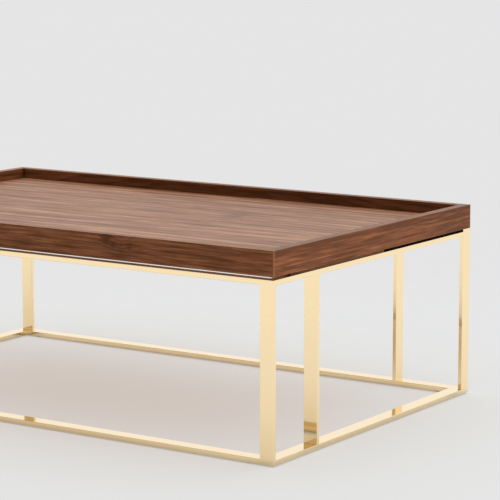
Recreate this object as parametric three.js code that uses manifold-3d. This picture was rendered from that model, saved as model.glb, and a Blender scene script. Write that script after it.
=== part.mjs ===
// A low rectangular coffee table: a walnut tray top that rests on a frame of polished brass flat bar.
//
// Frame of reference: millimetres, +X along the long side to the right, +Y to the back, +Z up,
// with the origin on the floor under the middle of the table.
//
// The frame is a pinwheel: each of the four sides is one welded unit of a base bar, a top rail, a
// corner leg and an inner leg, and one end of each unit butts against the side of the next unit.
// A half turn about Z carries the frame onto itself, so each side is given by a half-turn pair.

import * as THREE from 'three';
import { mergeVertices } from 'three/addons/utils/BufferGeometryUtils.js';
import Module from 'manifold-3d';

const wasm = await Module();
wasm.setup();

// ---- driving dimensions -------------------------------------------------------------------------

const LENGTH = 1200;            // whole table, along X
const DEPTH = 750;              // whole table, along Y
const HEIGHT = 400;             // floor to the top of the tray's rim

const GLIDE_THICKNESS = 2;      // stick-on glides under the base bars
const GLIDE_RADIUS = 10;
const BAR_WIDTH = 30;           // flat bar of the base, lying flat
const BAR_THICKNESS = 10;       // height of the base bars and of the top rails
const RAIL_WIDTH = 20;          // top rails
const LEG_WIDTH = 30;           // flat bar of the legs, standing
const LEG_THICKNESS = 8;
const END_LEG_PITCH = 150;      // corner leg to inner leg on the two short sides, face to same face
const LONG_LEG_PITCH = 158;     // the same on the two long sides

const TRAY_HEIGHT = 48.5;       // outside height of the tray's rim
const WELL_DEPTH = 23;          // rim top down to the tray's floor
const RIM_THICKNESS = 20;
const SHADOW_GAP = 5.5;         // open gap between the top rails and the tray

const VENEER = 0.6;             // face and back veneer of the tray's board
const TONGUE_LENGTH = 6;        // tongue round the board, let into the rim
const TONGUE_THICKNESS = 8;
const FIT = 0.3;                // clearance left round glued-in and sliding pieces

const SPLINE_THICKNESS = 3;     // loose spline across each mitre
const SPLINE_WIDTH = 12;
const SPLINE_INSET = 10;        // from the tray's outer faces to the middle of the spline
const SPLINE_END_MARGIN = 5;    // wood left above and below the spline

const PLATE_LENGTH = 34;        // plate on the inner face of each short rail, along Y
const PLATE_WIDTH = 26;
const PLATE_THICKNESS = 3;
const PLATE_SETBACK = 90;       // from the table's front or back to the plate
const PIN_SETBACK = 16;         // from the rail's inner face to the pin's axis
const PIN_RADIUS = 3;           // a stud welded on the plate
const PIN_REACH = 10;           // how far a pin stands up into the tray
const PIN_CHAMFER = 1;
const BUSH_RADIUS = 4.5;
const BUSH_LENGTH = 13;

const BUMPER_RADIUS = 5;        // rubber domes on the rails that the tray rests on
const BUMPER_SETBACK = 70;      // of the ones on the short rails, from the table's front or back
const BUMPER_OFFSET = 100;      // of the ones on the long rails, towards the raised leg of their rail

const STRIP_LENGTH = 300;       // rubber strip on each short rail, beside the leg that rises past it
const STRIP_WIDTH = 8;
const STRIP_SETBACK = 7;        // from the rail's outer face

const ROUND_SIDES = 24;

// ---- levels and half sizes worked out from them -------------------------------------------------

const halfX = LENGTH / 2;
const halfY = DEPTH / 2;
const insideX = halfX - BAR_WIDTH;
const insideY = halfY - BAR_WIDTH;
const railInsideX = halfX - RAIL_WIDTH;
const railInsideY = halfY - RAIL_WIDTH;
const railMiddleX = halfX - RAIL_WIDTH / 2;
const railMiddleY = halfY - RAIL_WIDTH / 2;
const barBottom = GLIDE_THICKNESS;
const barTop = barBottom + BAR_THICKNESS;
const trayBottom = HEIGHT - TRAY_HEIGHT;
const railTop = trayBottom - SHADOW_GAP;
const railBottom = railTop - BAR_THICKNESS;
const trayFloor = HEIGHT - WELL_DEPTH;
const plateTop = railBottom + PLATE_THICKNESS;
const pinX = railInsideX - PIN_SETBACK;
const pinY = halfY - PLATE_SETBACK - PLATE_LENGTH / 2;
const legInsideX = halfX - LEG_THICKNESS;
const legInsideY = halfY - LEG_WIDTH;
const wellX = halfX - RIM_THICKNESS;
const wellY = halfY - RIM_THICKNESS;
const tongueBottom = (trayBottom + trayFloor - TONGUE_THICKNESS) / 2;
const corners = [
  { corner: 'front_right', signX: 1, signY: -1 },
  { corner: 'back_right', signX: 1, signY: 1 },
  { corner: 'back_left', signX: -1, signY: 1 },
  { corner: 'front_left', signX: -1, signY: -1 },
];
const pinCorners = corners.filter(({ signX, signY }) => signX !== signY);

// ---- materials ----------------------------------------------------------------------------------

const finishes = {
  brass: new THREE.MeshStandardMaterial({ color: '#e6cf98', roughness: 0.08, metalness: 1 }),
  walnut: new THREE.MeshStandardMaterial({ color: '#6b4430', roughness: 0.45, metalness: 0 }),
  backing: new THREE.MeshStandardMaterial({ color: '#523a29', roughness: 0.8, metalness: 0 }),
  board: new THREE.MeshStandardMaterial({ color: '#a58560', roughness: 0.9, metalness: 0 }),
  beech: new THREE.MeshStandardMaterial({ color: '#c9a173', roughness: 0.7, metalness: 0 }),
  steel: new THREE.MeshStandardMaterial({ color: '#a9abae', roughness: 0.35, metalness: 1 }),
  rubber: new THREE.MeshStandardMaterial({ color: '#26221e', roughness: 0.85, metalness: 0 }),
  nylon: new THREE.MeshStandardMaterial({ color: '#4a4038', roughness: 0.7, metalness: 0 }),
};

const table = new THREE.Group();

function addPart(name, finish, geometry) {
  const mesh = new THREE.Mesh(geometry, finishes[finish]);
  mesh.name = name;
  table.add(mesh);
}

// ---- shapes -------------------------------------------------------------------------------------

// A rectangular block between two opposite corners.
function block(low, high) {
  const size = high.map((value, axis) => value - low[axis]);
  const geometry = new THREE.BoxGeometry(...size);
  geometry.translate(...high.map((value, axis) => (value + low[axis]) / 2));
  return geometry;
}

// An upright prism over a flat outline.
function prism(outline, bottom, top) {
  const shape = new THREE.Shape(outline.map(([x, y]) => new THREE.Vector2(x, y)));
  const settings = { depth: top - bottom, bevelEnabled: false };
  const geometry = new THREE.ExtrudeGeometry(shape, settings);
  geometry.translate(0, 0, bottom);
  return geometry;
}

// A body turned about an upright axis at (x, y); profile holds [radius, z] pairs.
function turned(profile, x, y) {
  const points = profile.map(([radius, z]) => new THREE.Vector2(radius, z));
  const geometry = new THREE.LatheGeometry(points, ROUND_SIDES);
  geometry.rotateX(Math.PI / 2);
  geometry.translate(x, y, 0);
  return geometry;
}

function disc(radius, bottom, top, x, y) {
  return turned([[0, bottom], [radius, bottom], [radius, top], [0, top]], x, y);
}

function ring(outer, inner, bottom, top, x, y) {
  const profile = [[inner, bottom], [outer, bottom], [outer, top], [inner, top], [inner, bottom]];
  return turned(profile, x, y);
}

function toSolid(geometry) {
  const bare = geometry.clone();
  bare.deleteAttribute('normal');
  bare.deleteAttribute('uv');
  const merged = mergeVertices(bare, 1e-4);
  const vertProperties = new Float32Array(merged.attributes.position.array);
  const triVerts = new Uint32Array(merged.index.array);
  return new wasm.Manifold(new wasm.Mesh({ numProp: 3, vertProperties, triVerts }));
}

function toGeometry(solid) {
  const mesh = solid.getMesh();
  const geometry = new THREE.BufferGeometry();
  geometry.setAttribute('position', new THREE.BufferAttribute(mesh.vertProperties, 3));
  geometry.setIndex(new THREE.BufferAttribute(mesh.triVerts, 1));
  geometry.computeVertexNormals();
  return geometry;
}

function cut(geometry, cutters) {
  let solid = toSolid(geometry);
  for (const cutter of cutters) {
    solid = solid.subtract(toSolid(cutter));
  }
  return toGeometry(solid);
}

// The same block turned half a turn about Z.
function halfTurn([low, high]) {
  return [[-high[0], -high[1], low[2]], [-low[0], -low[1], high[2]]];
}

// Adds a block and its half-turn twin on the opposite side.
function addPair(name, twinName, finish, limits) {
  addPart(name, finish, block(...limits));
  addPart(twinName, finish, block(...halfTurn(limits)));
}

// ---- brass frame --------------------------------------------------------------------------------

function addBaseBars() {
  const right = [[insideX, -halfY, barBottom], [halfX, insideY, barTop]];
  const back = [[-insideX, insideY, barBottom], [halfX, halfY, barTop]];
  addPair('base_bar_right', 'base_bar_left', 'brass', right);
  addPair('base_bar_back', 'base_bar_front', 'brass', back);
}

// Two corner legs rise past the rails to carry the tray. There the long rail stops at the leg and the
// short rail is notched round it to meet the long rail.
function addTopRails() {
  const right = [
    [railInsideX, -halfY],
    [halfX, -halfY],
    [halfX, legInsideY],
    [legInsideX, legInsideY],
    [legInsideX, railInsideY],
    [railInsideX, railInsideY],
  ];
  const left = right.map(([x, y]) => [-x, -y]);
  const back = [[-railInsideX, railInsideY, railBottom], [legInsideX, halfY, railTop]];
  addPart('top_rail_right', 'brass', prism(right, railBottom, railTop));
  addPart('top_rail_left', 'brass', prism(left, railBottom, railTop));
  addPair('top_rail_back', 'top_rail_front', 'brass', back);
}

// Legs of the short sides stand with their wide faces to the front and back.
function addShortSideLegs() {
  const sideLeg = (front) => [
    [halfX - LEG_WIDTH, front, barTop],
    [halfX, front + LEG_THICKNESS, railBottom],
  ];
  const inner = sideLeg(-halfY + END_LEG_PITCH);
  addPair('corner_leg_front_right', 'corner_leg_back_left', 'brass', sideLeg(-halfY));
  addPair('inner_leg_right', 'inner_leg_left', 'brass', inner);
}

// Legs of the long sides stand with their wide faces to the left and right.
function addLongSideLegs() {
  const backLeg = (right, top) => [
    [right - LEG_THICKNESS, legInsideY, barTop],
    [right, halfY, top],
  ];
  const inner = backLeg(halfX - LONG_LEG_PITCH, railBottom);
  addPair('corner_leg_back_right', 'corner_leg_front_left', 'brass', backLeg(halfX, trayBottom));
  addPair('inner_leg_back', 'inner_leg_front', 'brass', inner);
}

// A small plate for a pin on each short rail, near the corner that no leg rises past. Its underside
// is level with the rail's.
function addPinPlates() {
  const right = [
    [railInsideX - PLATE_WIDTH, -halfY + PLATE_SETBACK, railBottom],
    [railInsideX, -halfY + PLATE_SETBACK + PLATE_LENGTH, plateTop],
  ];
  addPair('pin_plate_front_right', 'pin_plate_back_left', 'brass', right);
}

// ---- what the tray rests on and is kept in place by ---------------------------------------------

function addLocatingPins() {
  const tip = trayBottom + PIN_REACH;
  const profile = [
    [0, plateTop],
    [PIN_RADIUS, plateTop],
    [PIN_RADIUS, tip - PIN_CHAMFER],
    [PIN_RADIUS - PIN_CHAMFER, tip],
    [0, tip],
  ];
  for (const { corner, signX, signY } of pinCorners) {
    addPart(`locating_pin_${corner}`, 'steel', turned(profile, signX * pinX, signY * pinY));
  }
}

// Domes near the two corners that no leg rises past, and one near the middle of each long rail.
function addBumpers() {
  const places = [
    ['bumper_front_right', railMiddleX, -halfY + BUMPER_SETBACK],
    ['bumper_back_left', -railMiddleX, halfY - BUMPER_SETBACK],
    ['bumper_front_middle', -BUMPER_OFFSET, -railMiddleY],
    ['bumper_back_middle', BUMPER_OFFSET, railMiddleY],
  ];
  for (const [name, x, y] of places) {
    addPart(name, 'rubber', disc(BUMPER_RADIUS, railTop, trayBottom, x, y));
  }
}

function addRestStrips() {
  const outer = halfX - STRIP_SETBACK;
  const end = legInsideY - FIT;
  const right = [[outer - STRIP_WIDTH, end - STRIP_LENGTH, railTop], [outer, end, trayBottom]];
  addPair('rest_strip_right', 'rest_strip_left', 'rubber', right);
}

// Two glides under each base bar, one near each of its ends.
function addGlides() {
  const endX = halfX - 2 * BAR_WIDTH;
  const endY = halfY - 2 * BAR_WIDTH;
  const middleX = halfX - BAR_WIDTH / 2;
  const middleY = halfY - BAR_WIDTH / 2;
  for (const [side, signY] of [['front', -1], ['back', 1]]) {
    addPart(`glide_${side}_left`, 'nylon', disc(GLIDE_RADIUS, 0, barBottom, -endX, signY * middleY));
    addPart(`glide_${side}_right`, 'nylon', disc(GLIDE_RADIUS, 0, barBottom, endX, signY * middleY));
  }
  for (const [side, signX] of [['left', -1], ['right', 1]]) {
    addPart(`glide_${side}_front`, 'nylon', disc(GLIDE_RADIUS, 0, barBottom, signX * middleX, -endY));
    addPart(`glide_${side}_back`, 'nylon', disc(GLIDE_RADIUS, 0, barBottom, signX * middleX, endY));
  }
}

// ---- walnut tray --------------------------------------------------------------------------------

// An upright strip across a mitre, turned 45 degrees; margin widens it into the slot that takes it.
function splineShape(signX, signY, margin) {
  const width = SPLINE_WIDTH + 2 * margin;
  const thickness = SPLINE_THICKNESS + 2 * margin;
  const bottom = trayBottom + SPLINE_END_MARGIN - margin;
  const top = HEIGHT - SPLINE_END_MARGIN + margin;
  const geometry = block([-width / 2, -thickness / 2, bottom], [width / 2, thickness / 2, top]);
  geometry.rotateZ(-signX * signY * Math.PI / 4);
  geometry.translate(signX * (halfX - SPLINE_INSET), signY * (halfY - SPLINE_INSET), 0);
  return geometry;
}

function addMitreSplines() {
  for (const { corner, signX, signY } of corners) {
    addPart(`mitre_spline_${corner}`, 'beech', splineShape(signX, signY, 0));
  }
}

// Four mitred rims, grooved for the board's tongue and slotted for the splines.
function addRims() {
  const grooveX = wellX + TONGUE_LENGTH + FIT;
  const grooveY = wellY + TONGUE_LENGTH + FIT;
  const grooveBottom = tongueBottom - FIT;
  const grooveTop = tongueBottom + TONGUE_THICKNESS + FIT;
  const groove = block([-grooveX, -grooveY, grooveBottom], [grooveX, grooveY, grooveTop]);
  const slots = corners.map(({ signX, signY }) => splineShape(signX, signY, FIT));
  const outlines = {
    rim_front: [[-halfX, -halfY], [halfX, -halfY], [wellX, -wellY], [-wellX, -wellY]],
    rim_right: [[halfX, -halfY], [halfX, halfY], [wellX, wellY], [wellX, -wellY]],
    rim_back: [[halfX, halfY], [-halfX, halfY], [-wellX, wellY], [wellX, wellY]],
    rim_left: [[-halfX, halfY], [-halfX, -halfY], [-wellX, -wellY], [-wellX, wellY]],
  };
  for (const [name, outline] of Object.entries(outlines)) {
    addPart(name, 'walnut', cut(prism(outline, trayBottom, HEIGHT), [groove, ...slots]));
  }
}

// The board between the rims: a tongued core with a veneer on its face and one on its back.
function addBoard() {
  const boardX = wellX - FIT;
  const boardY = wellY - FIT;
  const tongueX = wellX + TONGUE_LENGTH;
  const tongueY = wellY + TONGUE_LENGTH;
  const coreBottom = trayBottom + VENEER;
  const coreTop = trayFloor - VENEER;
  const tongueTop = tongueBottom + TONGUE_THICKNESS;
  const slab = toSolid(block([-boardX, -boardY, coreBottom], [boardX, boardY, coreTop]));
  const tongue = toSolid(block([-tongueX, -tongueY, tongueBottom], [tongueX, tongueY, tongueTop]));
  const socketTop = trayBottom + BUSH_LENGTH + FIT;
  const sockets = pinCorners.map(({ signX, signY }) =>
    disc(BUSH_RADIUS + FIT, trayBottom - FIT, socketTop, signX * pinX, signY * pinY));
  addPart('panel_core', 'board', cut(toGeometry(slab.add(tongue)), sockets));

  const back = block([-boardX, -boardY, trayBottom], [boardX, boardY, coreBottom]);
  const face = block([-boardX, -boardY, coreTop], [boardX, boardY, trayFloor]);
  addPart('panel_back_veneer', 'backing', cut(back, sockets));
  addPart('panel_face_veneer', 'walnut', face);
}

// A plain bush in each socket, in which a locating pin slides.
function addPinBushes() {
  const inner = PIN_RADIUS + FIT;
  const top = trayBottom + BUSH_LENGTH;
  for (const { corner, signX, signY } of pinCorners) {
    const bush = ring(BUSH_RADIUS, inner, trayBottom, top, signX * pinX, signY * pinY);
    addPart(`pin_bush_${corner}`, 'steel', bush);
  }
}

addBaseBars();
addTopRails();
addShortSideLegs();
addLongSideLegs();
addPinPlates();
addLocatingPins();
addBumpers();
addRestStrips();
addGlides();
addRims();
addMitreSplines();
addBoard();
addPinBushes();

export default table;
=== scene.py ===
"""Looks of the tray-top coffee table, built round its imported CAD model.

Metres, +X along the table, +Y to the back, +Z up, floor at z = 0. The welded brass frame, the walnut
rims and the small round pieces are built here as rounded meshes in the places the CAD boxes give. Flat
CAD nodes whose shape is right stay and get a procedural material.
"""

import itertools
import math

import bmesh
import bpy
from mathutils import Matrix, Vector


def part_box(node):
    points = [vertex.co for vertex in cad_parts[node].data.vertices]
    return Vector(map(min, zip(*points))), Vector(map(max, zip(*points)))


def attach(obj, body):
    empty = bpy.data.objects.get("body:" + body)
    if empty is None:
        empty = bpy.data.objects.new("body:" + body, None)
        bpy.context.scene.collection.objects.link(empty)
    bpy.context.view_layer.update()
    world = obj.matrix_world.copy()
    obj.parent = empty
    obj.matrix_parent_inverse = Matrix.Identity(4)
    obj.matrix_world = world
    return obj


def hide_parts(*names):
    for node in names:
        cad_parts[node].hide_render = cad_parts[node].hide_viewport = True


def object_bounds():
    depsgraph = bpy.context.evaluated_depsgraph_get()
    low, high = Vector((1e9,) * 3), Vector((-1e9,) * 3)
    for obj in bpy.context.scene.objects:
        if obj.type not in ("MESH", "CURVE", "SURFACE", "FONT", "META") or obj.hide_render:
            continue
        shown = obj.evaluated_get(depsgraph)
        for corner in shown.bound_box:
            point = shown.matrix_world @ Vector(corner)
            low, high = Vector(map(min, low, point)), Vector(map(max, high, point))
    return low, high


# ---- the pieces ---------------------------------------------------------------------------------

SIDES = ("front", "right", "back", "left")
CORNERS = ("front_right", "back_right", "back_left", "front_left")
PIN_CORNERS = ("front_right", "back_left")

BRASS_EDGE = 0.0007  # radius of the polished bar's edges and of the fillets at its welds
BRASS_EDGE_STEPS = 3
PLATE_EDGE = 0.0004
STRIP_EDGE = 0.0008
PLAIN_EDGE_STEPS = 2  # of the plates' and strips' broken edges
RIM_EDGE = 0.0009  # eased upper edges of the walnut rims
RIM_FOOT_EDGE = 0.0003
RIM_EDGE_STEPS = 3
CORNER_EDGE = 0.0015  # eased upright corners of the tray
CORNER_STEPS = 3
MITRE_ANGLE = math.radians(45)
DOME_LIP = 0.0004
DOME_CROWN = 0.35  # flat top of a pressed dome, as a share of its radius
DOME_STEPS = 8
WELD_FLARE = 0.0008  # how far the weld spreads round the foot of a pin
PIN_TIP = 0.0012
BUSH_BORE = 0.0033
BUSH_LIP = 0.0004
GLIDE_EDGE = 0.0009

# ---- mesh settings ------------------------------------------------------------------------------

ROUND_SEGMENTS = 64
ARC_STEPS = 5
ROUND_BEVEL = 0.5  # profile of a bevel that is an arc of a circle
STEEP_ANGLE = math.radians(30)  # least angle between the faces at an edge that is rounded
FLAT_ANGLE = 0.01  # radians within which faces count as one plane
GRID_DECIMALS = 5  # the CAD boxes are lined up to 0.01 mm
MERGE_DISTANCE = 1e-6
FACE_AREA_WEIGHT = 100  # normals follow the large flat faces

# ---- camera, floor and light --------------------------------------------------------------------

CAMERA_PLACE = (2.7235, -3.6414, 1.0125)
CAMERA_YAW = math.radians(33.656)
CAMERA_PITCH = math.radians(-8.905)
CAMERA_LENS = 158.13
CAMERA_SENSOR = 36.0

FLOOR_HALF_WIDTH = 4.0
FLOOR_FADE = (1.0, 1.9)  # distances from the table's middle between which the floor fades out
FLOOR_MATT = (0.24, 0.34, 0.39)  # with the glow it is neutral in full light and warm in the shade
FLOOR_GLOW = (0.554, 0.469, 0.417)
MIRRORED_MATT = (0.60, 0.69, 0.82)  # what the polished bars mirror has deeper shade
MIRRORED_GLOW = (0.340, 0.250, 0.135)
# A bar's shade on the floor: its reach, the openness up to which it is darkest, the glow left there.
CONTACT = (0.012, 0.0, 0.7)
MIRRORED_CONTACT = (0.06, 0.85, 0.35)

# A direction's facing is its Y plus LIGHT_LEAN of its X, and its height is its Z. A pair of facings or
# heights is where a change starts and where it ends.
BACKDROP_GREY = 0.783
LIGHT_COLOUR = (1.0, 0.99, 0.98)
LIGHT_LEAN = 0.5
LIGHT_FROM_BELOW = 0.98
HORIZON = (-0.06, 0.06)
LIGHT_FROM_FRONT = 0.35
LIGHT_FROM_BACK = 1.0
FRONT_TO_BACK = (-0.7, 0.35)
LIGHT_FROM_OVERHEAD = 0.45  # added to the light from the sides
OVERHEAD = (0.5, 0.8)
FRONT_GLOW = (0.56, 0.47, 0.30)  # the dim warm front of the room, as the polished bars mirror it
FRONT_GLOW_FACING = (-0.9, -0.4)
FRONT_GLOW_FOOT = (-0.02, 0.02)
FRONT_GLOW_TOP = (0.25, 0.5)

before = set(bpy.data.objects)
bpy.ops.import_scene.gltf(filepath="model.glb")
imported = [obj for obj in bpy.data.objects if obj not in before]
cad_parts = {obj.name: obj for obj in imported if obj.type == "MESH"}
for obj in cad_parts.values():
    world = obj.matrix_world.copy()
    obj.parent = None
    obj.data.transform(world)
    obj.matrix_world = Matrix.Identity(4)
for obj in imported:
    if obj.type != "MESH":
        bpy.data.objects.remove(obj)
CAD_LOW, CAD_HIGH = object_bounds()
RIM_LOW, RIM_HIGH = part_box("rim_front")
RIM_THICKNESS = RIM_HIGH.y - RIM_LOW.y


# ---- shader graphs ------------------------------------------------------------------------------


def opaque(colour):
    return (*colour, 1.0)


class Graph:
    """Adds nodes to a shader tree. Most methods return the socket that holds their result."""

    def __init__(self, tree):
        self.tree = tree

    def put(self, kind, inputs, settings=None):
        """Adds a node, sets or links its inputs, and returns the node."""
        node = self.tree.nodes.new(kind)
        for key, value in (settings or {}).items():
            setattr(node, key, value)
        for key, value in inputs.items():
            if isinstance(value, bpy.types.NodeSocket):
                self.tree.links.new(value, node.inputs[key])
            else:
                node.inputs[key].default_value = value
        return node

    def place(self):
        return self.put("ShaderNodeTexCoord", {}).outputs["Object"]

    def math(self, operation, a, b=0.0, c=0.0):
        return self.put("ShaderNodeMath", {0: a, 1: b, 2: c}, {"operation": operation}).outputs[0]

    def smooth(self, value, low, high, to_low=0.0, to_high=1.0):
        inputs = {"Value": value, "From Min": low, "From Max": high, "To Min": to_low, "To Max": to_high}
        settings = {"interpolation_type": "SMOOTHSTEP"}
        return self.put("ShaderNodeMapRange", inputs, settings).outputs["Result"]

    def join(self, x, y, z):
        return self.put("ShaderNodeCombineXYZ", {0: x, 1: y, 2: z}).outputs[0]

    def split(self, vector):
        """The three sockets of a vector's X, Y and Z."""
        node = self.put("ShaderNodeSeparateXYZ", {0: vector})
        return node.outputs[0], node.outputs[1], node.outputs[2]

    def noise(self, vector, scale=1.0, detail=2.0, roughness=0.5, distortion=0.0):
        inputs = {
            "Vector": vector,
            "Scale": scale,
            "Detail": detail,
            "Roughness": roughness,
            "Distortion": distortion,
        }
        return self.put("ShaderNodeTexNoise", inputs).outputs["Fac"]

    def ramp(self, factor, stops):
        node = self.put("ShaderNodeValToRGB", {"Fac": factor})
        elements = node.color_ramp.elements
        for index, (position, colour) in enumerate(stops):
            element = elements[index] if index < len(elements) else elements.new(position)
            element.position = position
            element.color = opaque(colour)
        return node.outputs["Color"]

    def tint(self, factor, a, b):
        node = self.put("ShaderNodeMix", {0: factor}, {"data_type": "RGBA"})
        for socket, value in ((node.inputs[6], a), (node.inputs[7], b)):
            if isinstance(value, bpy.types.NodeSocket):
                self.tree.links.new(value, socket)
            else:
                socket.default_value = opaque(value)
        return node.outputs[2]

    def bump(self, height, strength, distance):
        inputs = {"Height": height, "Strength": strength, "Distance": distance}
        return self.put("ShaderNodeBump", inputs).outputs["Normal"]

    def glow(self, kind, colour, strength):
        return self.put(kind, {"Color": opaque(colour), "Strength": strength}).outputs[0]

    def mix_shaders(self, factor, a, b):
        return self.put("ShaderNodeMixShader", {0: factor, 1: a, 2: b}).outputs[0]


def new_material(name, constants, build):
    """A Principled material: constants go on the shader's own sockets, build links the rest."""
    material = bpy.data.materials.new(name)
    material.use_nodes = True
    shader = material.node_tree.nodes["Principled BSDF"]
    for key, value in constants.items():
        shader.inputs[key].default_value = value
    graph = Graph(material.node_tree)
    for key, socket in build(graph).items():
        material.node_tree.links.new(socket, shader.inputs[key])
    return material


# ---- brass material -----------------------------------------------------------------------------

# A layer of noise on the brass is its scale in features per metre, its detail, its roughness and its
# distortion. Levels are where a noise starts to count and where it counts fully.
BRASS_WARM = (0.95, 0.76, 0.46)
BRASS_PALE = (0.96, 0.785, 0.50)
BRASS_PATCHES = (3.0, 3.0, 0.5, 0.0)
BRASS_WIPES = (22.0, 4.0, 0.65, 0.6)
WIPE_LEVELS = (0.35, 0.75)
WIPE_HAZE = (0.035, 0.085)  # roughness between the wiping marks and in them
BRASS_SPECKS = (420.0, 2.0, 0.5, 0.0)
SPECK_HAZE = 0.02
BRASS_WAVES = (9.0, 2.0, 0.5, 0.0)
WAVE_STRENGTH = 0.05
WAVE_HEIGHT = 0.002


def brass():
    """Polished pale-gold plating: nearly a mirror, with faint waviness, wiping marks and warmer patches."""

    def build(graph):
        place = graph.place()
        patches = graph.noise(place, *BRASS_PATCHES)
        wipes = graph.noise(place, *BRASS_WIPES)
        specks = graph.noise(place, *BRASS_SPECKS)
        waves = graph.noise(place, *BRASS_WAVES)
        haze = graph.smooth(wipes, *WIPE_LEVELS, *WIPE_HAZE)
        return {
            "Base Color": graph.tint(patches, BRASS_WARM, BRASS_PALE),
            "Roughness": graph.math("MULTIPLY_ADD", specks, SPECK_HAZE, haze),
            "Normal": graph.bump(waves, WAVE_STRENGTH, WAVE_HEIGHT),
        }

    return new_material("polished_brass", {"Metallic": 1.0}, build)


# ---- walnut materials ---------------------------------------------------------------------------

ALONG_X = 0
ALONG_Y = 1

# Tones are the darkest, the middle and the lightest wood, which the wood's value reaches at TONE_STOPS.
# Gloss is a specular level and the least roughness.
TONE_STOPS = (0.12, 0.5, 0.88)
MIDDLE = 0.5  # of the tones and of any noise
RIM_TONES = ((0.110, 0.035, 0.011), (0.250, 0.086, 0.032), (0.400, 0.165, 0.075))
RIM_GLOSS = (0.10, 0.42)
PANEL_TONES = ((0.195, 0.074, 0.028), (0.330, 0.139, 0.063), (0.500, 0.262, 0.150))
PANEL_GLOSS = (0.34, 0.40)
BACKING_TONES = ((0.100, 0.038, 0.015), (0.200, 0.088, 0.038), (0.290, 0.140, 0.065))
BACKING_GLOSS = (0.1, 0.65)
LACQUER_IOR = 1.5

# Painted highlight: the eased upright outer corners of the tray are painted paler than the wood, as if
# catching the light.
CORNER_HIGHLIGHT = 0.7
CORNER_HIGHLIGHT_LEVELS = (0.1, 0.5)
# Painted shade: the wood is darkened where two rims meet inside the tray.
CORNER_SHADE = 0.75
CORNER_SHADE_REACH = 0.008  # how far from the corner it starts
CORNER_SHADE_COLOUR = (0.030, 0.012, 0.005)
CORNER_SHADE_FADE = (0.25, 0.75)  # where up the rim's eased edge the painted shade ends, as shares of that edge

# A layer of noise in the wood is its scale along the grain, its scale across it, its detail and its
# roughness. A reach is how far, in metres, the layer moves what it acts on.
SEED_STEPS = (1.0, 1.7, 0.3)  # how far a board's seed moves its noise along, across and inward
DRIFT = (1.3, 5.0, 2.0, 0.55)  # moves the rings across the grain
DRIFT_REACH = 0.09
SINKING = (0.9, 1.0, 1.0, 0.55)  # moves the pith deeper under the seen face
SINKING_REACH = 0.10
RIPPLE = (7.0, 40.0, 3.0, 0.55)  # makes the rings uneven
RIPPLE_REACH = 0.006
LATE_WOOD = (0.35, 0.93)  # where in a ring the late wood starts and where it is darkest
CLOUDS = (1.5, 9.0, 3.0, 0.55)
CLOUD_STRENGTH = 0.4
STREAK_DETAIL = 5.0
STREAK_ROUGHNESS = 0.72
FLECKS = (14.0, 70.0, 2.0, 0.55)
FIBRES = (12.0, 420.0, 3.0, 0.6)
FIBRE_STRENGTH = 0.6
FIBRE_HAZE = 0.16
FIBRE_HEIGHT = 0.5  # of FINE_RELIEF
PORES = (45.0, 1500.0, 1.0, 0.55)
PORE_LEVELS = (0.60, 0.72)
PORE_SHADE = 0.5
PORE_HAZE = 0.10
PORE_HEIGHT = -0.8  # of FINE_RELIEF
WOOD_BUMP = 0.25
FINE_RELIEF = 0.0002


def painted_corner_highlight(graph, x, y):
    """How pale the tray's upright outer corners are painted, a painted highlight as of an eased edge
    catching the light, at most the highlight strength set above.
    """
    near_end = graph.smooth(graph.math("ABSOLUTE", x), CAD_HIGH.x - 2 * CORNER_EDGE, CAD_HIGH.x)
    near_side = graph.smooth(graph.math("ABSOLUTE", y), CAD_HIGH.y - 2 * CORNER_EDGE, CAD_HIGH.y)
    both = graph.math("MULTIPLY", near_end, near_side)
    return graph.smooth(both, *CORNER_HIGHLIGHT_LEVELS, 0.0, CORNER_HIGHLIGHT)


def painted_inner_corner_shade(graph, x, y):
    """How dark the wood is painted where two rims meet inside the tray, a painted shade in the inner
    corners, at most the shade strength set above.
    """
    past_x = graph.math("SUBTRACT", graph.math("ABSOLUTE", x), CAD_HIGH.x - RIM_THICKNESS)
    past_y = graph.math("SUBTRACT", graph.math("ABSOLUTE", y), CAD_HIGH.y - RIM_THICKNESS)
    nearer = graph.math("MINIMUM", past_x, past_y)
    farther = graph.math("MAXIMUM", past_x, past_y)
    close = graph.smooth(nearer, -CORNER_SHADE_REACH, 0.0)
    fade_start, fade_end = [share * RIM_EDGE for share in CORNER_SHADE_FADE]
    inside = graph.smooth(farther, fade_start, fade_end, CORNER_SHADE, 0.0)
    return graph.math("MULTIPLY", close, inside)


def add_noise(graph, value, noise, strength):
    """The value moved up and down by a noise, at most by half its strength."""
    return graph.math("MULTIPLY_ADD", graph.math("SUBTRACT", noise, MIDDLE), strength, value)


def bend_round_knots(graph, grain, across, offset, knots_and_painted_shades):
    """The rings' offset bent round each of the knots, and how much the knots and painted shades darken the
    wood.
    """
    shade = 0.0
    for knot_along, knot_across, length, width, lift, shading in knots_and_painted_shades:
        run = graph.math("DIVIDE", graph.math("SUBTRACT", grain, knot_along), length)
        rise = graph.math("DIVIDE", graph.math("SUBTRACT", across, knot_across), width)
        spread = graph.math("MULTIPLY", run, run)
        spread = graph.math("MULTIPLY_ADD", rise, rise, spread)
        bell = graph.math("EXPONENT", graph.math("MULTIPLY", spread, -1.0))
        offset = graph.math("MULTIPLY_ADD", bell, lift, offset)
        shade = graph.math("MAXIMUM", shade, graph.math("MULTIPLY", bell, shading))
    return offset, shade


def late_wood(graph, offset, below, ripple, spacing):
    """How dark the rings are, from the offset and the depth below of the pith they go round."""
    squared = graph.math("MULTIPLY", offset, offset)
    squared = graph.math("MULTIPLY_ADD", below, below, squared)
    radius = graph.math("SQRT", squared)
    radius = graph.math("MULTIPLY_ADD", ripple, RIPPLE_REACH, radius)
    turns = graph.math("FRACT", graph.math("DIVIDE", radius, spacing))
    rise = graph.smooth(turns, *LATE_WOOD)
    return graph.math("MULTIPLY", rise, graph.smooth(turns, LATE_WOOD[1], 1.0, 1.0, 0.0))


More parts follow.
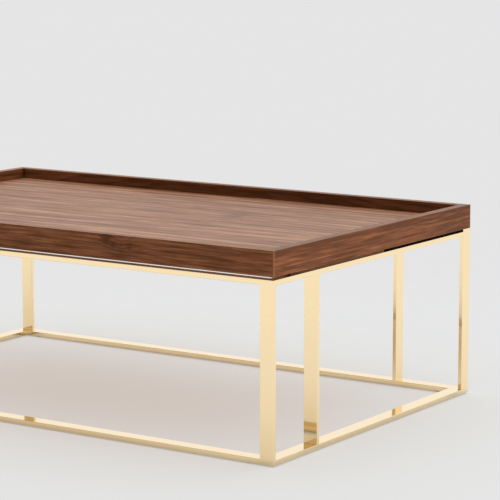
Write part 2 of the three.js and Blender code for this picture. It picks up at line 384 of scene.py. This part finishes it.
def walnut(name, along, seed, tones, gloss, rings, streaks, up_face=False, knots_and_painted_shades=()):
    """Satin-lacquered walnut. along is the grain's axis.

    rings is the place of the pith across the grain, its depth, the ring spacing and how dark the late
    wood is. streaks is their scale along and across the grain, their strength and the strength of the
    short flecks between them. up_face says that the seen face looks up. Each of knots is (along,
    across, length, width, lift, shade), in metres on the seen face: lift bends the rings round it and
    shade darkens it.
    """
    specular, least_roughness = gloss
    dark, _, light = tones
    pith, depth, spacing, late_shade = rings
    streak_along, streak_across, streak_strength, fleck_strength = streaks
    streak_layer = (streak_along, streak_across, STREAK_DETAIL, STREAK_ROUGHNESS)

    def build(graph):
        x, y, z = graph.split(graph.place())
        grain = (x, y)[along]
        side = (y, x)[along]
        across = side if up_face else z
        inward = z if up_face else side

        def noise(layer):
            along_scale, across_scale, detail, roughness = layer
            axes = zip((grain, across, inward), (along_scale, across_scale, across_scale), SEED_STEPS)
            place = [graph.math("MULTIPLY_ADD", axis, scale, seed * step) for axis, scale, step in axes]
            return graph.noise(graph.join(*place), 1.0, detail, roughness)

        offset = add_noise(graph, graph.math("SUBTRACT", across, pith), noise(DRIFT), DRIFT_REACH)
        offset, shade = bend_round_knots(graph, grain, across, offset, knots_and_painted_shades)
        below = graph.math("MULTIPLY_ADD", noise(SINKING), SINKING_REACH, depth)
        late = late_wood(graph, offset, below, noise(RIPPLE), spacing)

        fibres = noise(FIBRES)
        value = add_noise(graph, MIDDLE, noise(CLOUDS), CLOUD_STRENGTH)
        value = add_noise(graph, value, noise(streak_layer), streak_strength)
        value = add_noise(graph, value, noise(FLECKS), fleck_strength)
        value = add_noise(graph, value, fibres, FIBRE_STRENGTH)
        value = graph.math("MULTIPLY_ADD", late, -late_shade, value)
        value = graph.math("SUBTRACT", value, shade)
        colour = graph.ramp(value, zip(TONE_STOPS, tones))

        pores = graph.smooth(noise(PORES), *PORE_LEVELS)
        colour = graph.tint(graph.math("MULTIPLY", pores, PORE_SHADE), colour, dark)
        sockets = {}
        if not up_face:
            # Painted light: a rim's upward top face takes the panel's lighter tones, lighter than its
            # upright faces.
            top = graph.smooth(z, CAD_HIGH.z - RIM_EDGE, CAD_HIGH.z)
            colour = graph.tint(top, colour, graph.ramp(value, zip(TONE_STOPS, PANEL_TONES)))
            # Painted shade in the inner corners where two rims meet.
            colour = graph.tint(painted_inner_corner_shade(graph, x, y), colour, CORNER_SHADE_COLOUR)
            # Painted highlight on the tray's upright outer corners.
            colour = graph.tint(painted_corner_highlight(graph, x, y), colour, light)
            sockets["Specular IOR Level"] = graph.smooth(top, 0.0, 1.0, specular, PANEL_GLOSS[0])
        roughness = graph.math("MULTIPLY_ADD", fibres, FIBRE_HAZE, least_roughness)
        roughness = graph.math("MULTIPLY_ADD", pores, PORE_HAZE, roughness)
        height = graph.math("MULTIPLY", fibres, FIBRE_HEIGHT)
        height = graph.math("MULTIPLY_ADD", pores, PORE_HEIGHT, height)
        sockets["Base Color"] = colour
        sockets["Roughness"] = roughness
        sockets["Normal"] = graph.bump(height, WOOD_BUMP, FINE_RELIEF)
        return sockets

    return new_material(name, {"IOR": LACQUER_IOR, "Specular IOR Level": specular}, build)


def rim_walnut(side, along, seed, painted_light_level, rings, streaks, knots_and_painted_shades=()):
    """The walnut of one rim, its tones scaled lighter or darker for how brightly that rim's face is lit:
    painted light and shade.
    """
    tones = [[channel * painted_light_level for channel in tone] for tone in RIM_TONES]
    return walnut(f"walnut_rim_{side}", along, seed, tones, RIM_GLOSS, rings, streaks, knots_and_painted_shades=knots_and_painted_shades)


# ---- plain materials ----------------------------------------------------------------------------

GRAIN_DETAIL = 3.0
GRAIN_ROUGHNESS = 0.6
CLOUD_SCALE = 0.08  # of the grains' scale
CLOUD_DETAIL = 3.0
MOTTLE_LEVELS = (0.75, 1.3)
GRAIN_LEVELS = (0.3, 0.7)
GRAIN_BUMP = 0.3
SMOOTH_BUMP = 0.1


def speckled(name, base, spots, scale, roughness, bump=GRAIN_BUMP, constants=None):
    """A plain material with fine mottling, for board, beech, plated steel, rubber and nylon."""

    def build(graph):
        place = graph.place()
        grains = graph.noise(place, scale, GRAIN_DETAIL, GRAIN_ROUGHNESS)
        clouds = graph.noise(place, scale * CLOUD_SCALE, CLOUD_DETAIL)
        mottle = graph.smooth(graph.math("ADD", grains, clouds), *MOTTLE_LEVELS)
        return {
            "Base Color": graph.tint(mottle, base, spots),
            "Roughness": graph.smooth(grains, *GRAIN_LEVELS, *roughness),
            "Normal": graph.bump(grains, bump, FINE_RELIEF),
        }

    return new_material(name, constants or {}, build)


# ---- the materials ------------------------------------------------------------------------------

materials = {
    "brass": brass(),
    # Each rim's tones are scaled for how its face is lit: painted light on the right rim, painted shade on
    # the front, back and left rims.
    "rim_front": rim_walnut(
        "front",
        ALONG_X,
        seed=3.1,
        painted_light_level=0.85,
        rings=(0.33, 0.05, 0.0055, 0.18),
        streaks=(9.0, 210.0, 1.7, 0.3),
        # A swirl, the dark knot beside it, the dark lines round it, and a wide faint shade further on.
        knots_and_painted_shades=(
            (0.256, 0.392, 0.026, 0.022, 0.016, 0.05),
            (0.222, 0.393, 0.012, 0.012, 0.008, 0.42),
            (0.238, 0.379, 0.008, 0.009, 0.0, 0.34),
            (0.256, 0.370, 0.018, 0.004, 0.0, 0.38),
            (0.276, 0.380, 0.008, 0.010, 0.0, 0.30),
            (0.250, 0.368, 0.045, 0.016, 0.0, 0.21),
            (0.500, 0.376, 0.120, 0.060, 0.0, 0.07),
        ),
    ),
    "rim_right": rim_walnut(
        "right",
        ALONG_Y,
        seed=8.4,
        painted_light_level=1.28,
        rings=(0.30, 0.04, 0.006, 0.12),
        streaks=(4.5, 210.0, 1.9, 0.5),
        # The figure towards the far end, and a painted shade that darkens the upper half of the whole rim.
        knots_and_painted_shades=(
            (0.205, 0.393, 0.045, 0.010, 0.005, 0.34),
            (0.307, 0.386, 0.020, 0.009, 0.004, 0.22),
            (0.310, 0.390, 0.110, 0.035, 0.0, 0.42),
            # Painted shade: the upper half of the rim darker than the lower.
            (0.000, 0.400, 0.900, 0.032, 0.0, 0.31),
        ),
    ),
    "rim_back": rim_walnut(
        "back",
        ALONG_X,
        seed=14.9,
        painted_light_level=0.80,
        rings=(0.34, 0.06, 0.007, 0.18),
        streaks=(7.0, 130.0, 1.5, 0.3),
        knots_and_painted_shades=((0.25, 0.385, 0.50, 0.10, 0.0, 0.22),),
    ),
    "rim_left": rim_walnut(
        "left",
        ALONG_Y,
        seed=21.7,
        painted_light_level=0.75,
        rings=(0.35, 0.05, 0.006, 0.18),
        streaks=(7.0, 150.0, 1.5, 0.3),
    ),
    "panel": walnut(
        "walnut_panel",
        ALONG_X,
        seed=31.3,
        tones=PANEL_TONES,
        gloss=PANEL_GLOSS,
        rings=(-0.05, 0.22, 0.010, 0.15),
        streaks=(2.8, 50.0, 3.0, 0.6),
        up_face=True,
        # A dark mark and the softer shade round it.
        knots_and_painted_shades=(
            (0.197, 0.105, 0.022, 0.028, 0.012, 0.75),
            (0.225, 0.110, 0.060, 0.026, 0.006, 0.30),
        ),
    ),
    "backing": walnut(
        "dark_backing_veneer",
        ALONG_X,
        seed=44.2,
        tones=BACKING_TONES,
        gloss=BACKING_GLOSS,
        rings=(-0.20, 0.30, 0.012, 0.20),
        streaks=(3.0, 60.0, 1.3, 0.3),
        up_face=True,
    ),
    "board": speckled(
        "fibreboard",
        base=(0.36, 0.24, 0.145),
        spots=(0.44, 0.31, 0.20),
        scale=900.0,
        roughness=(0.85, 0.95),
    ),
    "beech": speckled(
        "raw_beech",
        base=(0.66, 0.49, 0.34),
        spots=(0.74, 0.58, 0.42),
        scale=500.0,
        roughness=(0.6, 0.75),
    ),
    "steel": speckled(
        "zinc_plated_steel",
        base=(0.52, 0.53, 0.55),
        spots=(0.64, 0.65, 0.66),
        scale=700.0,
        roughness=(0.25, 0.4),
        bump=SMOOTH_BUMP,
        constants={"Metallic": 1.0},
    ),
    # Painted shade: the rest strips' near-black rubber stands in for the dark shadow deep in the gap under
    # the tray.
    "rubber": speckled(
        "black_rubber_painted_shade",
        base=(0.010, 0.005, 0.003),
        spots=(0.018, 0.010, 0.007),
        scale=1200.0,
        roughness=(0.8, 0.95),
        constants={"Specular IOR Level": 0.08},
    ),
    "brown_rubber": speckled(
        "brown_rubber",
        base=(0.110, 0.055, 0.026),
        spots=(0.150, 0.078, 0.040),
        scale=1200.0,
        roughness=(0.7, 0.9),
        constants={"Specular IOR Level": 0.15},
    ),
    "nylon": speckled(
        "dark_nylon",
        base=(0.050, 0.038, 0.030),
        spots=(0.075, 0.060, 0.050),
        scale=800.0,
        roughness=(0.5, 0.65),
    ),
}


# ---- mesh helpers -------------------------------------------------------------------------------


def finish_piece(name, mesh, material, body, nodes):
    """Wraps a mesh as a piece that rides on a body and stands for CAD nodes."""
    for polygon in mesh.polygons:
        polygon.use_smooth = True
    piece = bpy.data.objects.new(name, mesh)
    bpy.context.scene.collection.objects.link(piece)
    mesh.materials.append(materials[material])
    even = piece.modifiers.new("even_normals", "WEIGHTED_NORMAL")
    even.keep_sharp = True
    even.weight = FACE_AREA_WEIGHT
    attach(piece, body)
    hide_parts(*nodes)


def mesh_from(bm, name):
    bmesh.ops.recalc_face_normals(bm, faces=bm.faces)
    mesh = bpy.data.meshes.new(name)
    bm.to_mesh(mesh)
    bm.free()
    return mesh


def around_boxes(boxes):
    """The skin of a set of touching upright boxes, as one closed bmesh on the grid of their faces."""
    marks = []
    for axis in range(3):
        marks.append(sorted({round(corner[axis], GRID_DECIMALS) for box in boxes for corner in box}))
    counts = [len(line) - 1 for line in marks]

    def filled(cell):
        if any(index < 0 or index >= count for index, count in zip(cell, counts)):
            return False
        middle = [(marks[axis][cell[axis]] + marks[axis][cell[axis] + 1]) / 2 for axis in range(3)]
        return any(all(low[a] < middle[a] < high[a] for a in range(3)) for low, high in boxes)

    bm = bmesh.new()
    corners = {}

    def vertex(key):
        if key not in corners:
            corners[key] = bm.verts.new([marks[axis][key[axis]] for axis in range(3)])
        return corners[key]

    def add_skin(cell, axis, step):
        """Adds the face between a filled cell and the next one along an axis, if that one is empty."""
        neighbour = list(cell)
        neighbour[axis] += 2 * step - 1
        if filled(neighbour):
            return
        u, v = [other for other in range(3) if other != axis]
        face = []
        for du, dv in ((0, 0), (1, 0), (1, 1), (0, 1)):
            key = list(cell)
            key[axis] += step
            key[u] += du
            key[v] += dv
            face.append(vertex(tuple(key)))
        bm.faces.new(face)

    for cell in itertools.product(*[range(count) for count in counts]):
        if not filled(cell):
            continue
        for axis in range(3):
            for step in (0, 1):
                add_skin(cell, axis, step)
    bmesh.ops.recalc_face_normals(bm, faces=bm.faces)
    return bm


def turned_mesh(name, profile, node, ring=False):
    """A mesh turned about a node's upright middle line.

    profile holds (radius, z), where a radius of 0 is a point on that line. ring closes it on itself.
    """
    low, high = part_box(node)
    centre = (low + high) / 2
    bm = bmesh.new()
    rows = []
    for radius, z in profile:
        if radius == 0.0:
            rows.append([bm.verts.new((centre.x, centre.y, z))])
            continue
        row = []
        for index in range(ROUND_SEGMENTS):
            angle = 2 * math.pi * index / ROUND_SEGMENTS
            place = (centre.x + radius * math.cos(angle), centre.y + radius * math.sin(angle), z)
            row.append(bm.verts.new(place))
        rows.append(row)
    pairs = list(zip(rows, rows[1:]))
    if ring:
        pairs.append((rows[-1], rows[0]))
    for lower, upper in pairs:
        for index in range(ROUND_SEGMENTS):
            following = (index + 1) % ROUND_SEGMENTS
            corners = [lower[index % len(lower)], lower[following % len(lower)]]
            corners += [upper[following % len(upper)], upper[index % len(upper)]]
            unique = list(dict.fromkeys(corners))
            if len(unique) > 2:
                bm.faces.new(unique)
    return mesh_from(bm, name)


def arc(centre_across, centre_z, radius, start, end, steps=ARC_STEPS):
    """Points of a rounded corner in a profile, from start to end in degrees."""
    points = []
    for step in range(steps + 1):
        angle = math.radians(start + (end - start) * step / steps)
        points.append((centre_across + radius * math.cos(angle), centre_z + radius * math.sin(angle)))
    return points


# ---- brass frame --------------------------------------------------------------------------------


def build_brass_frame():
    """All bars, rails and legs as one welded piece with rounded edges and small weld fillets."""
    nodes = [f"base_bar_{side}" for side in SIDES]
    nodes += [f"top_rail_{side}" for side in SIDES]
    nodes += [f"corner_leg_{corner}" for corner in CORNERS]
    nodes += [f"inner_leg_{side}" for side in SIDES]
    bm = around_boxes([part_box(node) for node in nodes])
    bmesh.ops.dissolve_limit(bm, angle_limit=FLAT_ANGLE, verts=bm.verts, edges=bm.edges)
    bmesh.ops.bevel(
        bm,
        geom=[edge for edge in bm.edges if edge.calc_face_angle(0.0) > STEEP_ANGLE],
        offset=BRASS_EDGE,
        segments=BRASS_EDGE_STEPS,
        profile=ROUND_BEVEL,
        affect="EDGES",
    )
    mesh = mesh_from(bm, "welded_brass_frame")
    finish_piece("welded_brass_frame", mesh, "brass", "frame", nodes)


# ---- CAD nodes that stay ------------------------------------------------------------------------


def dress(node, material, edge_radius=None):
    """Keeps a flat CAD node's shape, and gives it a procedural material and maybe broken edges."""
    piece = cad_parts[node]
    piece.data.materials.clear()
    piece.data.materials.append(materials[material])
    if edge_radius is None:
        return
    edge = piece.modifiers.new("broken_edges", "BEVEL")
    edge.width = edge_radius
    edge.segments = PLAIN_EDGE_STEPS
    edge.limit_method = "ANGLE"
    edge.angle_limit = STEEP_ANGLE


def dress_cad_nodes():
    for corner in PIN_CORNERS:
        dress(f"pin_plate_{corner}", "brass", PLATE_EDGE)
    for side in ("right", "left"):
        # Painted shade: the near-black strips stand in for the shadow in the gap between rail and tray.
        dress(f"rest_strip_{side}", "rubber", STRIP_EDGE)
    dress("panel_face_veneer", "panel")
    dress("panel_back_veneer", "backing")
    dress("panel_core", "board")
    for corner in CORNERS:
        dress(f"mitre_spline_{corner}", "beech")


# ---- bumpers, pins, bushes and glides -----------------------------------------------------------


def build_bumper(place):
    """A rubber dome with a small foot, pressed a little flat by the tray."""
    node = f"bumper_{place}"
    low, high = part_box(node)
    outer = (high.x - low.x) / 2
    height = high.z - low.z
    crown = outer * DOME_CROWN
    profile = [(0.0, low.z), (outer - DOME_LIP, low.z), (outer, low.z + DOME_LIP)]
    for step in range(DOME_STEPS + 1):
        angle = math.pi / 2 * step / DOME_STEPS
        radius = crown + (outer - DOME_LIP - crown) * math.cos(angle)
        profile.append((radius, low.z + 2 * DOME_LIP + (height - 2 * DOME_LIP) * math.sin(angle)))
    profile.append((0.0, high.z))
    mesh = turned_mesh(f"{node}_dome", profile, node)
    finish_piece(f"{node}_dome", mesh, "brown_rubber", "frame", [node])


def build_pin(corner):
    """A stud with a rounded tip, held to its plate by a small flared weld."""
    node = f"locating_pin_{corner}"
    low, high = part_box(node)
    radius = (high.x - low.x) / 2
    profile = [(0.0, low.z)]
    profile += arc(radius + WELD_FLARE, low.z + WELD_FLARE, WELD_FLARE, -90, -180)
    profile += arc(radius - PIN_TIP, high.z - PIN_TIP, PIN_TIP, 0, 90)
    profile.append((0.0, high.z))
    mesh = turned_mesh(f"{node}_stud", profile, node)
    finish_piece(f"{node}_stud", mesh, "steel", "frame", [node])


def build_bush(corner):
    """A plain sleeve, chamfered at the end that a pin enters."""
    node = f"pin_bush_{corner}"
    low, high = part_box(node)
    outer = (high.x - low.x) / 2
    profile = [
        (outer - BUSH_LIP, low.z),
        (outer, low.z + BUSH_LIP),
        (outer, high.z),
        (BUSH_BORE, high.z),
        (BUSH_BORE, low.z + BUSH_LIP),
        (BUSH_BORE + BUSH_LIP, low.z),
    ]
    mesh = turned_mesh(f"{node}_sleeve", profile, node, ring=True)
    finish_piece(f"{node}_sleeve", mesh, "steel", "tray", [node])


def build_glide(node):
    """A nylon disc with a rounded lower edge."""
    low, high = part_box(node)
    outer = (high.x - low.x) / 2
    profile = [(0.0, low.z)]
    profile += arc(outer - GLIDE_EDGE, low.z + GLIDE_EDGE, GLIDE_EDGE, -90, 0)
    profile += [(outer, high.z), (0.0, high.z)]
    mesh = turned_mesh(f"{node}_disc", profile, node)
    finish_piece(f"{node}_disc", mesh, "nylon", "frame", [node])


def build_small_pieces():
    for place in (*PIN_CORNERS, "front_middle", "back_middle"):
        build_bumper(place)
    for corner in PIN_CORNERS:
        build_pin(corner)
    for corner in PIN_CORNERS:
        build_bush(corner)
    for side in ("front", "back"):
        for end in ("left", "right"):
            build_glide(f"glide_{side}_{end}")
            build_glide(f"glide_{end}_{side}")


# ---- walnut rims --------------------------------------------------------------------------------


def rim_profile():
    """Section of a rim as (inward, z), with its four long edges rounded."""
    foot = RIM_LOW.z + RIM_FOOT_EDGE
    shoulder = RIM_HIGH.z - RIM_EDGE
    points = arc(RIM_FOOT_EDGE, foot, RIM_FOOT_EDGE, 180, 270, RIM_EDGE_STEPS)
    points += arc(RIM_THICKNESS - RIM_FOOT_EDGE, foot, RIM_FOOT_EDGE, 270, 360, RIM_EDGE_STEPS)
    points += arc(RIM_THICKNESS - RIM_EDGE, shoulder, RIM_EDGE, 0, 90, RIM_EDGE_STEPS)
    points += arc(RIM_EDGE, shoulder, RIM_EDGE, 90, 180, RIM_EDGE_STEPS)
    return points


def rim_end_sections():
    """Sections of a rim's end as (along, inward, z), from the full profile round to the mitre.

    The tray's upright outer corner is rounded: each section starts a little nearer to the mitre and
    its outer points lie a little further in.
    """
    profile = rim_profile()
    sections = []
    for step in range(CORNER_STEPS + 1):
        angle = MITRE_ANGLE * step / CORNER_STEPS
        along = CORNER_EDGE * (1 - math.sin(angle))
        inward = CORNER_EDGE * (1 - math.cos(angle))
        sections.append([(max(depth, along), max(depth, inward), z) for depth, z in profile])
    return sections


def build_rim(side, start, run, length):
    """A rim that runs from start, mitred so that each inward step shortens both ends by as much."""
    inward = Vector((-run.y, run.x, 0))
    end_sections = rim_end_sections()
    bm = bmesh.new()
    rows = []

    def add_row(section, from_far_end):
        row = []
        for along, depth, z in section:
            distance = length - along if from_far_end else along
            row.append(bm.verts.new(start + run * distance + inward * depth + Vector((0, 0, z))))
        rows.append(row)

    for section in reversed(end_sections):
        add_row(section, from_far_end=False)
    for section in end_sections:
        add_row(section, from_far_end=True)
    for row, following_row in zip(rows, rows[1:]):
        for index in range(len(row)):
            following = (index + 1) % len(row)
            bm.faces.new([row[index], row[following], following_row[following], following_row[index]])
    bm.faces.new(rows[0])
    bm.faces.new(rows[-1])
    bmesh.ops.remove_doubles(bm, verts=bm.verts, dist=MERGE_DISTANCE)
    mesh = mesh_from(bm, f"tray_rim_{side}")
    finish_piece(f"tray_rim_{side}", mesh, f"rim_{side}", "tray", [f"rim_{side}"])


def build_rims():
    """The four rims, each from its own corner to the next, anticlockwise as seen from above."""
    outer_x = RIM_HIGH.x
    outer_y = -RIM_LOW.y
    build_rim("front", Vector((-outer_x, -outer_y, 0)), Vector((1, 0, 0)), 2 * outer_x)
    build_rim("right", Vector((outer_x, -outer_y, 0)), Vector((0, 1, 0)), 2 * outer_y)
    build_rim("back", Vector((outer_x, outer_y, 0)), Vector((-1, 0, 0)), 2 * outer_x)
    build_rim("left", Vector((-outer_x, outer_y, 0)), Vector((0, -1, 0)), 2 * outer_y)


# ---- floor, light and camera --------------------------------------------------------------------


def floor_surface(graph, matt, glow, contact):
    """A matt floor that glows a little, and less close beside what stands on it."""
    reach, darkest, least_glow = contact
    openness = graph.put("ShaderNodeAmbientOcclusion", {"Distance": reach}).outputs["AO"]
    strength = graph.smooth(openness, darkest, 1.0, least_glow, 1.0)
    matt_share = graph.put("ShaderNodeBsdfDiffuse", {"Color": opaque(matt)}).outputs[0]
    glow_share = graph.glow("ShaderNodeEmission", glow, strength)
    return graph.put("ShaderNodeAddShader", {0: matt_share, 1: glow_share}).outputs[0]


def add_floor():
    """A pale floor that fades out into the backdrop a little way from the table."""
    bm = bmesh.new()
    bmesh.ops.create_grid(bm, x_segments=1, y_segments=1, size=FLOOR_HALF_WIDTH)
    mesh = mesh_from(bm, "floor")
    floor = bpy.data.objects.new("floor", mesh)
    bpy.context.scene.collection.objects.link(floor)
    material = bpy.data.materials.new("pale_floor")
    material.use_nodes = True
    material.node_tree.nodes.clear()
    graph = Graph(material.node_tree)
    x, y, _ = graph.split(graph.place())
    distance = graph.math("SQRT", graph.math("MULTIPLY_ADD", x, x, graph.math("MULTIPLY", y, y)))
    fade = graph.smooth(distance, *FLOOR_FADE)
    in_mirror = graph.put("ShaderNodeLightPath", {}).outputs["Is Glossy Ray"]
    seen = floor_surface(graph, FLOOR_MATT, FLOOR_GLOW, CONTACT)
    mirrored = floor_surface(graph, MIRRORED_MATT, MIRRORED_GLOW, MIRRORED_CONTACT)
    surface = graph.mix_shaders(in_mirror, seen, mirrored)
    clear = graph.put("ShaderNodeBsdfTransparent", {}).outputs[0]
    graph.put("ShaderNodeOutputMaterial", {"Surface": graph.mix_shaders(fade, surface, clear)})
    mesh.materials.append(material)


def add_studio():
    """An even grey backdrop, and soft light that comes from above, behind and the right."""
    world = bpy.data.worlds.new("studio")
    bpy.context.scene.world = world
    world.use_nodes = True
    world.node_tree.nodes.clear()
    graph = Graph(world.node_tree)
    x, y, height = graph.split(graph.put("ShaderNodeTexCoord", {}).outputs["Generated"])
    facing = graph.math("MULTIPLY_ADD", x, LIGHT_LEAN, y)
    sides = graph.smooth(facing, *FRONT_TO_BACK, LIGHT_FROM_FRONT, LIGHT_FROM_BACK)
    upper = graph.math("ADD", sides, graph.smooth(height, *OVERHEAD, 0.0, LIGHT_FROM_OVERHEAD))
    strength = graph.smooth(height, *HORIZON, LIGHT_FROM_BELOW, upper)
    soft_light = graph.glow("ShaderNodeBackground", LIGHT_COLOUR, strength)
    warm_front = graph.glow("ShaderNodeBackground", FRONT_GLOW, 1.0)
    in_front = graph.smooth(facing, *FRONT_GLOW_FACING, 1.0, 0.0)
    in_front = graph.math("MULTIPLY", in_front, graph.smooth(height, *FRONT_GLOW_TOP, 1.0, 0.0))
    in_front = graph.math("MULTIPLY", in_front, graph.smooth(height, *FRONT_GLOW_FOOT))
    rays = graph.put("ShaderNodeLightPath", {}).outputs
    mirrored_front = graph.math("MULTIPLY", in_front, rays["Is Glossy Ray"])
    room = graph.mix_shaders(mirrored_front, soft_light, warm_front)
    backdrop = graph.glow("ShaderNodeBackground", [BACKDROP_GREY] * 3, 1.0)
    shown = graph.mix_shaders(rays["Is Camera Ray"], room, backdrop)
    graph.put("ShaderNodeOutputWorld", {"Surface": shown})
    bpy.context.scene.view_settings.view_transform = "Standard"


def add_camera():
    data = bpy.data.cameras.new("camera")
    data.lens = CAMERA_LENS
    data.sensor_width = CAMERA_SENSOR
    camera = bpy.data.objects.new("camera", data)
    camera.location = CAMERA_PLACE
    camera.rotation_euler = (math.pi / 2 + CAMERA_PITCH, 0.0, CAMERA_YAW)
    bpy.context.scene.collection.objects.link(camera)
    bpy.context.scene.camera = camera


build_brass_frame()
dress_cad_nodes()
build_small_pieces()
build_rims()
add_floor()
add_studio()
add_camera()
